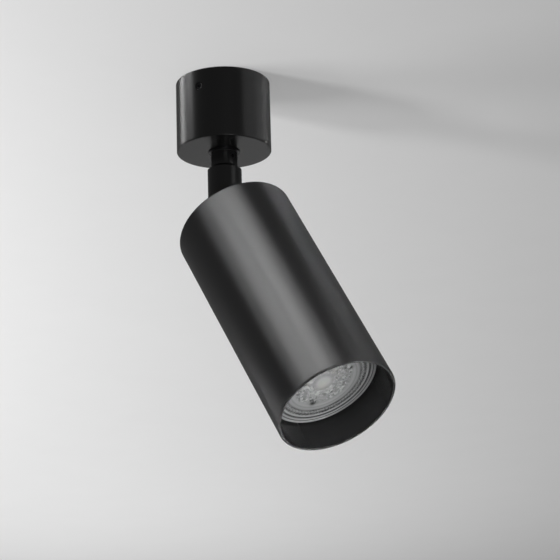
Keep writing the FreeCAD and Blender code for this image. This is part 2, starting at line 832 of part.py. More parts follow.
def lamp_lens():
    """Clear front that caps the rim: flat face, raised bead, and a boss over the light source."""
    rim_low = lamp_front + lens_rim_height
    face = lamp_front + lens_bead
    back = face + lens_thickness
    inner = lamp_r - lens_rim_width
    outline = [
        (0, face),
        (inner - lens_bead, face),
        (inner, lamp_front),
        (lamp_r - lens_bead, lamp_front),
        (lamp_r, face),
        (lamp_r, rim_low),
        (inner, rim_low),
        (inner, back),
        (lens_boss_r, back),
        (lens_boss_r - lens_boss_height, back + lens_boss_height),
        (0, back + lens_boss_height),
    ]
    return turned(outline)


def lamp_led_board():
    """Round board seated in the rim, on the shell's ledge."""
    cone_low = lamp_front + lamp_rim_height
    board_r = lamp_r - lens_rim_width / 2 - lamp_wall - drop_in_gap
    return cylinder(board_r, cone_low - led_board_thickness, cone_low)


def lamp_led_chips():
    """Square chips on the board, spread evenly round its middle."""
    high = lamp_front + lamp_rim_height - led_board_thickness
    chips = []
    for n in range(led_count):
        half = led_size / 2
        chip = box((led_ring_r - half, led_ring_r + half), (-half, half), (high - led_height, high))
        chip.rotate(Vector(0, 0, 0), Vector(0, 0, 1), led_first_angle + 360 * n / led_count)
        chips.append(chip)
    return chips


def lamp_base():
    """Insulating plug in the lamp's neck that holds the pins and the driver board."""
    low = holder_front - lamp_base_thickness
    base = cylinder(lamp_neck_r - lamp_wall - press_gap, low, holder_front)
    rooted = holder_front - pin_rooted
    hole = cylinder(pin_shank_r + press_gap, rooted, holder_front + overcut, 0, pin_r_place)
    for copy in both_ends(hole):
        base = base.cut(copy)
    half = driver_width / 2 + drop_in_gap
    thick = driver_thickness / 2 + drop_in_gap
    return base.cut(box((-half, half), (-thick, thick), (low - overcut, low + driver_in_base)))


def lamp_pins():
    """Twist-lock pins: a shank rooted in the base, and a wider head."""
    head_low = pin_top - pin_head_height
    pin = cylinder(pin_shank_r, holder_front - pin_rooted, head_low, 0, pin_r_place)
    return both_ends(pin.fuse(cylinder(pin_head_r, head_low, pin_top, 0, pin_r_place)))


def lamp_driver_board():
    """Upright board between the base and the LED board."""
    high = holder_front - lamp_base_thickness + driver_in_base - bare_gap
    low = lamp_front + lamp_rim_height
    half = driver_width / 2
    return box((-half, half), (-driver_thickness / 2, driver_thickness / 2), (low, high))


def make_canopy():
    """Everything that stays on the ceiling."""
    save("canopy_cup", in_canopy(canopy_cup()))
    save("ceiling_bracket", in_canopy(ceiling_bracket()))
    save("canopy_side_screws", *map(in_canopy, side_screws()))
    save("terminal_block", in_canopy(terminal_block()))
    save("terminal_clamps", *map(in_canopy, terminal_clamps()))
    save("terminal_screws", *map(in_canopy, terminal_screws()))
    save("terminal_fixing_screws", *map(in_canopy, terminal_fixing_screws()))
    save("swivel_nipple", swivel_nipple())
    save("nipple_lock_nut", in_canopy(lock_nut(tooth_washer_top, nipple_nut_top, nipple_r + thread_gap)))
    save("nipple_tooth_washer", tube(tooth_washer_r, nipple_r + pass_gap, cup_floor_top, tooth_washer_top))
    save("swivel_washer", tube(stem_r, nipple_r + pass_gap / 2, stem_top, flange_bottom))
    for name, solid in upper_leads():
        save(name, in_canopy(solid))
    sleeve_low = pivot_z + pivot_bend_reach
    save("upper_lead_sleeve", tube(sleeve_r, sleeve_bore_r, sleeve_low, nipple_top + sleeve_above_nipple))


def make_stem():
    """Everything that swivels and doesn't tilt."""
    save("stem_fork", stem_fork())
    save("keeper_grub_screw", keeper_grub_screw())
    save("tilt_friction_discs", *tilt_friction_discs())
    save("knuckle_lead_sleeve", knuckle_lead_sleeve())
    save("knuckle_leads", *knuckle_leads())


def make_head():
    """Everything that tilts."""
    save("tilt_tongue", in_head(tilt_tongue()))
    save("pivot_screws", *map(in_head, pivot_screws()))
    save("head_tube", in_head(head_tube()))
    save("end_cap", in_head(end_cap()))
    save("holder_bracket", in_head(holder_bracket()))
    washer = tube(tooth_washer_r - pass_gap, spigot_r + pass_gap, spigot_washer_bottom, holder_web_bottom)
    save("spigot_tooth_washer", in_head(washer))
    save("spigot_nut", in_head(lock_nut(spigot_nut_bottom, spigot_washer_bottom, spigot_r + thread_gap)))
    save("head_earth_screw", in_head(head_earth_screw()))
    save("head_earth_terminal", in_head(head_earth_terminal()))
    save("head_lead_sleeve", in_head(tube(sleeve_r, sleeve_bore_r, sleeve_end, -pivot_bend_reach)))
    for name, solid in lower_leads():
        save(name, in_head(solid))
    save("lampholder_body", in_head(lampholder_body()))
    save("lampholder_cover", in_head(lampholder_cover()))
    save("lampholder_contacts", *map(in_head, lampholder_contacts()))
    save("lampholder_screws", *map(in_head, lampholder_screws()))
    nut_low = foot_bottom + holder_bracket_thickness
    nuts = [m3_nut(nut_low, nut_low + m3_nut_height, x) for x in (-holder_screw_x, holder_screw_x)]
    save("lampholder_nuts", *map(in_head, nuts))


def make_lamp():
    """The lamp, which twists out of its holder."""
    save("lamp_shell", in_head(lamp_shell()))
    save("lamp_lens", in_head(lamp_lens()))
    save("lamp_led_board", in_head(lamp_led_board()))
    save("lamp_led_chips", *map(in_head, lamp_led_chips()))
    save("lamp_base", in_head(lamp_base()))
    save("lamp_pins", *map(in_head, lamp_pins()))
    save("lamp_driver_board", in_head(lamp_driver_board()))


os.makedirs("parts", exist_ok=True)
make_canopy()
make_stem()
make_head()
make_lamp()
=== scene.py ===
"""Looks of a surface mounted ceiling spotlight: a canopy, a swivel stem and a tilting tubular head with its lamp.

Metres, in the frame of the part: the origin is on the ceiling, +Z points up into it, and the head leans to +X.
"""

import json
import math

import bmesh
import bpy
import numpy as np
from mathutils import Matrix, Vector

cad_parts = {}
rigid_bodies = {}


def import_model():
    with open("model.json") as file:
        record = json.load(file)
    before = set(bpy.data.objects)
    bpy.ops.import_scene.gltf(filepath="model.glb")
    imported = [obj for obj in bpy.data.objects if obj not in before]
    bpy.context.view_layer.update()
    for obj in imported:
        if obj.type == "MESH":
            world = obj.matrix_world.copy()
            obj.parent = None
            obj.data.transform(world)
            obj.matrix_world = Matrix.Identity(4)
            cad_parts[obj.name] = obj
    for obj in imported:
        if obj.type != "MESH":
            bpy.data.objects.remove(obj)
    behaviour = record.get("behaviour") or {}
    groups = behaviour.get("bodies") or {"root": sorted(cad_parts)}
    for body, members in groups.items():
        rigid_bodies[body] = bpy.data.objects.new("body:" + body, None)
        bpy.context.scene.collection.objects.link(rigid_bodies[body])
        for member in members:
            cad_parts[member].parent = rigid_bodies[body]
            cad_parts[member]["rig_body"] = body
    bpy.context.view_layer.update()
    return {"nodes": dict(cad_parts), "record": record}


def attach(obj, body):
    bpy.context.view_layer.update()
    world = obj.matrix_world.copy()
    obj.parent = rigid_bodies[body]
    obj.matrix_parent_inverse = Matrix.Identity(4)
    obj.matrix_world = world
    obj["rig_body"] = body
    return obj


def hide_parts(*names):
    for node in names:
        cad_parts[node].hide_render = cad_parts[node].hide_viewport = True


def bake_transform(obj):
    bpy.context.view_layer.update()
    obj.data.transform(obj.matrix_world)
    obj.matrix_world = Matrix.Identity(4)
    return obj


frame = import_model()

MM = 0.001

# ---- sizes of the part, in millimetres. Heights in the head and the lamp are along their axis, from the pivot.

# Tilt of the head off the vertical and turn of the canopy's screws off Y, both at rest.
TILT = math.radians(32.0)
CANOPY_TURN = math.radians(16.5)
PIVOT_Z = -62.0
CANOPY_R, CANOPY_HEIGHT, CANOPY_WALL, CANOPY_FLOOR = 22.0, 34.0, 1.5, 2.0
NIPPLE_HOLE_R = 4.2
SIDE_HOLE_R, SIDE_HOLE_DROP, SIDE_HOLE_SOFT = 1.7, 8.3, 0.25
HEAD_R, HEAD_WALL, HEAD_TOP, HEAD_LENGTH = 27.5, 1.5, -12.5, 115.0
CAP_R, CAP_THICKNESS, CAP_HOLE_R = 25.97, 3.0, 4.1
LAMP_R, LENS_FACE, LENS_SEAT, LED_SEAT, LED_RING_R = 25.0, -112.9, -109.7, -107.5, 6.0
# Leads at the pivot: their radius, how far each is from the middle of the three, and the gap above them.
LEAD_R, BUNDLE_R, LEAD_GAP = 0.85, 1.0515, 0.06
SLEEVE_R, SLEEVE_WALL = 2.3015, 0.3
# How far leads and sleeve reach above the pivot, and below it.
BEND_REACH = 5.0

# ---- fineness of the meshes

CANOPY_COLUMNS, TUBE_COLUMNS, CAP_COLUMNS, LENS_COLUMNS, HOUSING_COLUMNS = 216, 240, 200, 360, 160
LED_COLUMNS, SLEEVE_COLUMNS, LEAD_COLUMNS, BEND_ROWS = 32, 32, 20, 25
# A screw hole's window reaches this many cells from its middle, and this many rings round each of its edges.
HOLE_CELLS, HOLE_STEPS = 4, 5
# Steps of a rounded edge, and how far beyond it the guard points lie, as a share of the rounding.
ROUND_STEPS, ROUND_GUARD = 5, 0.25
# Edges sharper than these angles aren't shaded smooth.
SHARP, LENS_SHARP = math.radians(40.0), math.radians(75.0)
# Points nearer to each other than this, in metres, are one.
DOUBLE = 1e-7


# ---- meshes


def head_place(points):
    """Points drawn in millimetres in the head's own frame, as it hangs straight down, put in their place.

    They are turned by the tilt about Y at the pivot, then lowered to the pivot's height.
    """
    c, s = math.cos(TILT), math.sin(TILT)
    x, y, z = points[:, 0], points[:, 1], points[:, 2]
    return np.stack([c * x - s * z, y, s * x + c * z + PIVOT_Z], 1) * MM


def canopy_place(points):
    """Points drawn in millimetres with the bracket along Y, turned about Z as the canopy is."""
    c, s = math.cos(CANOPY_TURN), math.sin(CANOPY_TURN)
    x, y, z = points[:, 0], points[:, 1], points[:, 2]
    return np.stack([c * x - s * y, s * x + c * y, z], 1) * MM


def rounded(corners):
    """Closed outline of (radius, height, rounding) corners, each corner replaced by an arc.

    An arc touches both sides at rounding / tan(half the inner angle) from the corner. A guard point just before
    it and one just after keep the flat sides flat under smooth shading. Returns the points, and for each how much
    it belongs to an edge: 1 on an arc and 0 elsewhere.
    """
    flat = np.array([c[:2] for c in corners], float)
    points, edge = [], []
    for n, (_, _, r) in enumerate(corners):
        here, before, after = flat[n], flat[n - 1], flat[(n + 1) % len(flat)]
        back = (before - here) / np.linalg.norm(before - here)
        ahead = (after - here) / np.linalg.norm(after - here)
        half = math.acos(np.clip(back @ ahead, -1, 1)) / 2
        reach = r / math.tan(half)
        middle = here + (back + ahead) / np.linalg.norm(back + ahead) * r / math.sin(half)
        start, end = here + back * reach - middle, here + ahead * reach - middle
        t = np.linspace(0, 1, ROUND_STEPS + 1)[:, None]
        turn = math.pi - 2 * half
        arc = (np.sin((1 - t) * turn) * start + np.sin(t * turn) * end) / math.sin(turn) + middle
        guard = reach + ROUND_GUARD * r
        points += [(here + back * guard)[None], arc, (here + ahead * guard)[None]]
        edge += [np.zeros(1), np.ones(len(arc)), np.zeros(1)]
    return np.concatenate(points), np.concatenate(edge)


def grid_faces(rows, columns, closed=False):
    """Quads between the neighbouring points of a grid that is stored row after row.

    The last column joins the first, and the last row joins the first where the grid is closed.
    """
    r, c = np.meshgrid(np.arange(rows if closed else rows - 1), np.arange(columns), indexing="ij")
    r1, c1 = (r + 1) % rows, (c + 1) % columns
    return np.stack([r * columns + c, r * columns + c1, r1 * columns + c1, r1 * columns + c], -1).reshape(-1, 4)


def full_turn(columns):
    """Angles of that many columns, evenly round a full turn."""
    return np.linspace(0, 2 * math.pi, columns, endpoint=False)


def turned(outline, columns):
    """Surface of revolution: point (i, j) is outline point i at angle j of a full turn about Z.

    x is radius times cosine, y is radius times sine and z is the outline's height.
    """
    angle = full_turn(columns)
    r, z = outline[:, :1], outline[:, 1:]
    points = np.stack([r * np.cos(angle), r * np.sin(angle), z + 0 * angle], -1).reshape(-1, 3)
    return points, grid_faces(len(outline), columns, closed=True)


def put(made):
    """Links a new object into the scene."""
    bpy.context.scene.collection.objects.link(made)
    return made


def piece(name, points, faces, body, slot, nodes, edge=None, place=None, painted_light_and_shade=None, sharp=SHARP):
    """A mesh object from points and faces: doubles merged, faces turned outwards, riding on its body.

    A piece given no body rides on none.
    """
    points = place(points) if place else points * MM
    mesh = bpy.data.meshes.new(name)
    mesh.from_pydata(points, [], faces.tolist() if isinstance(faces, np.ndarray) else faces)
    # The second attribute holds painted light and shade.
    for label, values in (("edge", edge), ("painted_light_and_shade", painted_light_and_shade)):
        if values is not None:
            mesh.attributes.new(label, "FLOAT", "POINT").data.foreach_set("value", np.asarray(values, np.float32))
    work = bmesh.new()
    work.from_mesh(mesh)
    bmesh.ops.remove_doubles(work, verts=work.verts, dist=DOUBLE)
    bmesh.ops.recalc_face_normals(work, faces=work.faces)
    work.to_mesh(mesh)
    work.free()
    mesh.polygons.foreach_set("use_smooth", np.ones(len(mesh.polygons), bool))
    mesh.set_sharp_from_angle(angle=sharp)
    mesh.materials.append(MATERIALS[slot])
    made = put(bpy.data.objects.new(name, mesh))
    if body:
        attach(made, body)
    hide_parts(*nodes)
    return made


# ---- shader nodes

FLOAT, COLOUR, VECTOR = "NodeSocketFloat", "NodeSocketColor", "NodeSocketVector"


def feed(tree, socket, value):
    """Links an output to an input, or sets the input to a plain value."""
    if isinstance(value, bpy.types.NodeSocket):
        tree.links.new(value, socket)
    else:
        socket.default_value = value


def add(tree, kind, **values):
    """A node of that kind. Names that start with a capital feed its inputs, the others set its own properties."""
    made = tree.nodes.new(kind)
    for name, value in values.items():
        if name[0].islower():
            setattr(made, name, value)
        else:
            feed(tree, made.inputs[name.replace("_", " ")], value)
    return made


def worked_out(tree, operation, *values):
    """Result of a Math node on one to three numbers or sockets."""
    made = add(tree, "ShaderNodeMath", operation=operation)
    for socket, value in zip(made.inputs, values):
        feed(tree, socket, value)
    return made.outputs[0]


def ramp_between(tree, value, low, high, at_low=0.0, at_high=1.0):
    """Straight ramp from one value to another between two readings, held outside them."""
    return add(tree, "ShaderNodeMapRange", Value=value, From_Min=low, From_Max=high, To_Min=at_low,
               To_Max=at_high).outputs["Result"]


def mixed(tree, share, first, second):
    """Mix of two colours, each a socket or a plain colour."""
    made = add(tree, "ShaderNodeMix", data_type="RGBA")
    for socket, value in zip((made.inputs[0], made.inputs[6], made.inputs[7]), (share, first, second)):
        feed(tree, socket, value)
    return made.outputs[2]


def own_place(tree):
    """Where each point lies on the object, in metres."""
    return add(tree, "ShaderNodeTexCoord").outputs["Object"]


def noise_of(tree, size, detail=3.0):
    """Noise with features of a size in millimetres, a number or a socket."""
    scale = worked_out(tree, "DIVIDE", 1 / MM, size)
    return add(tree, "ShaderNodeTexNoise", Vector=own_place(tree), Scale=scale, Detail=detail,
               Roughness=0.58).outputs["Fac"]


def wave_along(tree, slant, period):
    """Sine of the way along a slant direction, with a period in millimetres."""
    along = add(tree, "ShaderNodeVectorMath", operation="DOT_PRODUCT", Vector=own_place(tree))
    along.inputs[1].default_value = np.array(slant) * 2 * math.pi / (period * MM)
    return worked_out(tree, "SINE", along.outputs["Value"])


# ---- shader groups that the materials share


def new_group(name, inputs, outputs):
    """An empty shader group with its sockets; returns it with its inputs and outputs as seen from inside."""
    tree = bpy.data.node_groups.new(name, "ShaderNodeTree")
    for label, kind, value in inputs:
        made = tree.interface.new_socket(label, in_out="INPUT", socket_type=kind)
        if value is not None:
            made.default_value = value
    for label, kind in outputs:
        tree.interface.new_socket(label, in_out="OUTPUT", socket_type=kind)
    return tree, tree.nodes.new("NodeGroupInput").outputs, tree.nodes.new("NodeGroupOutput").inputs


def make_grain():
    """Relief of fine grain, with its size and depth in millimetres."""
    tree, given, out = new_group("grain", [("Size", FLOAT, 0.3), ("Depth", FLOAT, 0.01)], [("Normal", VECTOR)])
    depth = worked_out(tree, "MULTIPLY", given["Depth"], MM)
    bump = add(tree, "ShaderNodeBump", Strength=1.0, Distance=depth, Height=noise_of(tree, given["Size"]))
    feed(tree, out["Normal"], bump.outputs["Normal"])
    return tree


def make_mottle():
    """Colour made lighter and darker in patches, with a roughness that drifts with it."""
    tree, given, out = new_group(
        "mottle",
        [("Color", COLOUR, None), ("Size", FLOAT, 8.0), ("Amount", FLOAT, 0.1), ("Roughness", FLOAT, 0.4),
         ("Spread", FLOAT, 0.05)],
        [("Color", COLOUR), ("Roughness", FLOAT)],
    )
    centred = worked_out(tree, "SUBTRACT", noise_of(tree, given["Size"], detail=4.0), 0.5)
    brightness = worked_out(tree, "MULTIPLY_ADD", centred, given["Amount"], 1.0)
    scaled = add(tree, "ShaderNodeVectorMath", operation="SCALE", Vector=given["Color"], Scale=brightness)
    feed(tree, out["Color"], scaled.outputs["Vector"])
    feed(tree, out["Roughness"], worked_out(tree, "MULTIPLY_ADD", centred, given["Spread"], given["Roughness"]))
    return tree


def make_wear():
    """Worn edges and dust. Wear follows the piece's edge attribute, broken up by noise; dust lies in specks.

    The specks of dust are gathered in drifts, and dust dulls the surface.
    """
    chip_size, speck_size, drift_size, dulling = 1.1, 0.4, 14.0, 0.4
    tree, given, out = new_group(
        "wear",
        [("Color", COLOUR, None), ("Worn Color", COLOUR, (0.3, 0.3, 0.3, 1)), ("Wear", FLOAT, 0.3),
         ("Dust Color", COLOUR, (0.5, 0.48, 0.45, 1)), ("Dust", FLOAT, 0.02), ("Roughness", FLOAT, 0.4)],
        [("Color", COLOUR), ("Roughness", FLOAT)],
    )
    edge = add(tree, "ShaderNodeAttribute", attribute_name="edge").outputs["Fac"]
    chipped = ramp_between(tree, noise_of(tree, chip_size), 0.4, 0.7)
    worn = worked_out(tree, "MULTIPLY", worked_out(tree, "MULTIPLY", chipped, edge), given["Wear"])
    specks = ramp_between(tree, noise_of(tree, speck_size, detail=2.0), 0.6, 0.8)
    drifts = ramp_between(tree, noise_of(tree, drift_size, detail=2.0), 0.35, 0.7)
    dusty = worked_out(tree, "MULTIPLY", worked_out(tree, "MULTIPLY", specks, drifts), given["Dust"])
    colour = mixed(tree, worn, given["Color"], given["Worn Color"])
    feed(tree, out["Color"], mixed(tree, dusty, colour, given["Dust Color"]))
    feed(tree, out["Roughness"], worked_out(tree, "MULTIPLY_ADD", dusty, dulling, given["Roughness"]))
    return tree


def make_specks():
    """Specks of a second colour where noise of a size in millimetres passes from low to high."""
    tree, given, out = new_group(
        "specks",
        [("Color", COLOUR, None), ("Second Color", COLOUR, None), ("Size", FLOAT, 1.0), ("Low", FLOAT, 0.4),
         ("High", FLOAT, 0.7)],
        [("Color", COLOUR)],
    )
    share = ramp_between(tree, noise_of(tree, given["Size"]), given["Low"], given["High"])
    feed(tree, out["Color"], mixed(tree, share, given["Color"], given["Second Color"]))
    return tree


def make_tracks():
    """Tracks of a second colour along the borders of scattered cells of a size in millimetres."""
    tree, given, out = new_group(
        "tracks",
        [("Color", COLOUR, None), ("Second Color", COLOUR, None), ("Size", FLOAT, 2.0)],
        [("Color", COLOUR)],
    )
    scale = worked_out(tree, "DIVIDE", 1 / MM, given["Size"])
    cells = add(tree, "ShaderNodeTexVoronoi", feature="DISTANCE_TO_EDGE", Vector=own_place(tree), Scale=scale)
    share = ramp_between(tree, cells.outputs["Distance"], 0.06, 0.1)
    feed(tree, out["Color"], mixed(tree, share, given["Second Color"], given["Color"]))
    return tree


def make_painted_light_and_shade():
    """Painted shade and painted light: a darker colour where the piece's attribute of painted light and shade rises
    from 0 to 1, a brighter one where it falls to -1.
    """
    tree, given, out = new_group(
        "painted_light_and_shade",
        [("Color", COLOUR, None), ("Dark Color", COLOUR, None), ("Bright Color", COLOUR, None)],
        [("Color", COLOUR)],
    )
    painted_light_and_shade = add(tree, "ShaderNodeAttribute", attribute_name="painted_light_and_shade").outputs["Fac"]
    darker = mixed(tree, ramp_between(tree, painted_light_and_shade, 0, 1), given["Color"], given["Dark Color"])
    feed(tree, out["Color"], mixed(tree, ramp_between(tree, painted_light_and_shade, 0, -1), darker, given["Bright Color"]))
    return tree


GRAIN, MOTTLE, WEAR = make_grain(), make_mottle(), make_wear()
SPECKS, TRACKS, PAINTED_LIGHT_AND_SHADE = make_specks(), make_tracks(), make_painted_light_and_shade()


def placed(tree, shared, **values):
    """A shared group placed in a material's tree, with its own values or links; returns its outputs."""
    return add(tree, "ShaderNodeGroup", node_tree=shared, **values).outputs


# ---- materials


def finish(name, colour, roughness, metallic=0.0, spread=0.05, patch=8.0, amount=0.15, grain=0.3, depth=0.004,
           wear=0.2, worn=(0.3, 0.3, 0.3), dust=0.15, pattern=None, **shader):
    """A material of mottled colour and roughness, fine grain, worn edges and a little dust.

    A pattern is a function of the tree and the colour that returns a new colour socket. What is left over sets
    the shader's own sockets.
    """
    made = bpy.data.materials.new(name)
    made.use_nodes = True
    tree = made.node_tree
    bsdf = tree.nodes["Principled BSDF"].inputs
    bsdf["Metallic"].default_value = metallic
    for label, value in shader.items():
        bsdf[label.replace("_", " ")].default_value = value
    base = pattern(tree, (*colour, 1)) if pattern else (*colour, 1)
    patches = placed(tree, MOTTLE, Color=base, Size=patch, Amount=amount, Roughness=roughness, Spread=spread)
    surface = placed(tree, WEAR, Color=patches["Color"], Roughness=patches["Roughness"], Wear=wear,
                     Worn_Color=(*worn, 1), Dust=dust)
    feed(tree, bsdf["Base Color"], surface["Color"])
    feed(tree, bsdf["Roughness"], surface["Roughness"])
    feed(tree, bsdf["Normal"], placed(tree, GRAIN, Size=grain, Depth=depth)["Normal"])
    return made


def see_through(material, share, tint):
    """Makes a material clear by a share that is 0 or 1, a socket of its own tree, and lets a grey tint through."""
    tree = material.node_tree
    clear = add(tree, "ShaderNodeBsdfTransparent", Color=(tint, tint, tint, 1))
    either = add(tree, "ShaderNodeMixShader", Fac=share)
    tree.links.new(tree.nodes["Principled BSDF"].outputs[0], either.inputs[1])
    tree.links.new(clear.outputs[0], either.inputs[2])
    tree.links.new(either.outputs[0], tree.nodes["Material Output"].inputs["Surface"])


def striped(second, period, slant):
    """Bands of a second colour, a period apart in millimetres, square to a slant direction."""
    def pattern(tree, colour):
        return mixed(tree, ramp_between(tree, wave_along(tree, slant, period), -0.08, 0.08), colour, (*second, 1))
    return pattern


def woven_with_painted_shade(second, size):
    """Two crossing sets of diagonal bands, with painted shade in the lines between them, where they cross under each
    other.
    """
    def pattern(tree, colour):
        waves = [worked_out(tree, "ABSOLUTE", wave_along(tree, slant, size * math.sqrt(3)))
                 for slant in ((1, 1, 1), (-1, 1, 1))]
        return mixed(tree, ramp_between(tree, worked_out(tree, "MULTIPLY", *waves), 0.1, 0.7), (*second, 1), colour)
    return pattern


def speckled(second, size, low, high):
    """Specks of a second colour, of a size in millimetres; the nearer low is to high, the sharper they are."""
    def pattern(tree, colour):
        return placed(tree, SPECKS, Color=colour, Second_Color=(*second, 1), Size=size, Low=low, High=high)["Color"]
    return pattern


def traced(second, size):
    """Copper tracks under the mask of a board, round cells of a size in millimetres."""
    def pattern(tree, colour):
        return placed(tree, TRACKS, Color=colour, Second_Color=(*second, 1), Size=size)["Color"]
    return pattern


def painted_shading(dark, bright):
    """Colours of painted shade and painted light for the darkest and the brightest places of a piece that carries them.
    """
    def pattern(tree, colour):
        return placed(tree, PAINTED_LIGHT_AND_SHADE, Color=colour, Dark_Color=(*dark, 1), Bright_Color=(*bright, 1))["Color"]
    return pattern


SILICONE = {"spread": 0.08, "grain": 0.12, "depth": 0.004, "dust": 0.06}
MATERIALS = {
    # Its brighter colour is painted light, used on the tube's inner wall.
    "black_finish": finish("satin_black_paint", (0.009, 0.009, 0.0092), 0.25, spread=0.03, amount=0.1, grain=0.35,
                           depth=0.0012, wear=0.12, worn=(0.05, 0.05, 0.05), dust=0.006,
                           pattern=painted_shading((0.004, 0.004, 0.004), (0.034, 0.034, 0.035))),
    "zinc_steel": finish("zinc_plated_steel", (0.56, 0.57, 0.6), 0.3, 1.0, spread=0.18, patch=1.6, amount=0.25,
                         pattern=speckled((0.42, 0.44, 0.5), 2.5, 0.45, 0.7), grain=0.15, depth=0.006),
    "black_steel": finish("blackened_steel", (0.03, 0.03, 0.032), 0.3, 0.7, spread=0.15, patch=1.2, dust=0.02,
                          worn=(0.25, 0.25, 0.25), grain=0.12, depth=0.005),
    "block_plastic": finish("off_white_block_plastic", (0.74, 0.72, 0.66), 0.42, spread=0.1, grain=0.2, depth=0.004,
                            amount=0.06, Subsurface_Weight=0.15, Subsurface_Scale=0.002),
    "brass": finish("machined_brass", (0.72, 0.52, 0.2), 0.25, 1.0, spread=0.16, patch=2.0, amount=0.3,
                    pattern=speckled((0.42, 0.26, 0.1), 3.0, 0.5, 0.75), grain=0.1, depth=0.004),
    "black_nylon": finish("moulded_black_nylon", (0.02, 0.02, 0.021), 0.5, spread=0.1, dust=0.03),
    "live_insulation": finish("brown_silicone", (0.13, 0.045, 0.02), 0.4, **SILICONE),
    "neutral_insulation": finish("blue_silicone", (0.02, 0.07, 0.3), 0.4, **SILICONE),
    "earth_insulation": finish("green_and_yellow_silicone", (0.06, 0.3, 0.04), 0.4, **SILICONE,
                               pattern=striped((0.75, 0.62, 0.03), 2.4, (0.6, 0.6, 0.53))),
    "lead_bundle": finish("bundled_silicone", (0.13, 0.1, 0.08), 0.4, **SILICONE),
    # Its second colour is painted shade between the strands of the weave.
    "glass_sleeve": finish("varnished_glass_braid", (0.78, 0.75, 0.66), 0.4, spread=0.2, dust=0.1,
                           pattern=woven_with_painted_shade((0.4, 0.36, 0.28), 0.55), grain=0.2, depth=0.03),
    "ceramic": finish("fired_ceramic", (0.8, 0.77, 0.7), 0.5, spread=0.12, amount=0.05, dust=0.05,
                      pattern=speckled((0.5, 0.45, 0.38), 0.35, 0.66, 0.74), grain=0.25, depth=0.02),
    "lamp_housing": finish("satin_lamp_housing", (0.66, 0.66, 0.66), 0.36, 0.7, spread=0.08, amount=0.06, grain=0.2),
    "lamp_plastic": finish("lamp_base_plastic", (0.75, 0.75, 0.73), 0.4, spread=0.1, amount=0.05),
    "lamp_board": finish("white_board_mask", (0.8, 0.8, 0.78), 0.35, spread=0.1, amount=0.04,
                         pattern=traced((0.6, 0.6, 0.56), 5.0)),
    "driver_board": finish("green_board_mask", (0.015, 0.11, 0.04), 0.3, spread=0.1,
                           pattern=traced((0.05, 0.24, 0.09), 2.2)),
    "led_phosphor": finish("led_phosphor", (0.8, 0.58, 0.06), 0.5, pattern=speckled((0.95, 0.8, 0.3), 0.2, 0.4, 0.7),
                           grain=0.1, depth=0.02),
    "nickel": finish("nickel_plate", (0.62, 0.6, 0.57), 0.18, 1.0, spread=0.1, patch=1.5),
    # Its dark and bright colours carry the lens's painted shade, painted reflections and painted glints.
    "lamp_clear": finish("clear_moulded_lens", (0.68, 0.69, 0.692), 0.14, spread=0.1, patch=1.5, amount=0.1, grain=0.25,
                         depth=0.004, wear=0.0, dust=0.04, Transmission_Weight=0.45, IOR=1.49,
                         pattern=painted_shading((0.012, 0.012, 0.013), (0.98, 0.99, 0.99))),
}

# Light passes through the lens to the board behind it.
ray = add(MATERIALS["lamp_clear"].node_tree, "ShaderNodeLightPath")
see_through(MATERIALS["lamp_clear"], ray.outputs["Is Shadow Ray"], 0.75)

for row in frame["record"]["subparts"]:
    surface = frame["nodes"][row["node"]].data.materials
    surface.clear()
    surface.append(MATERIALS[row["material_slot"]])

# ---- canopy cup


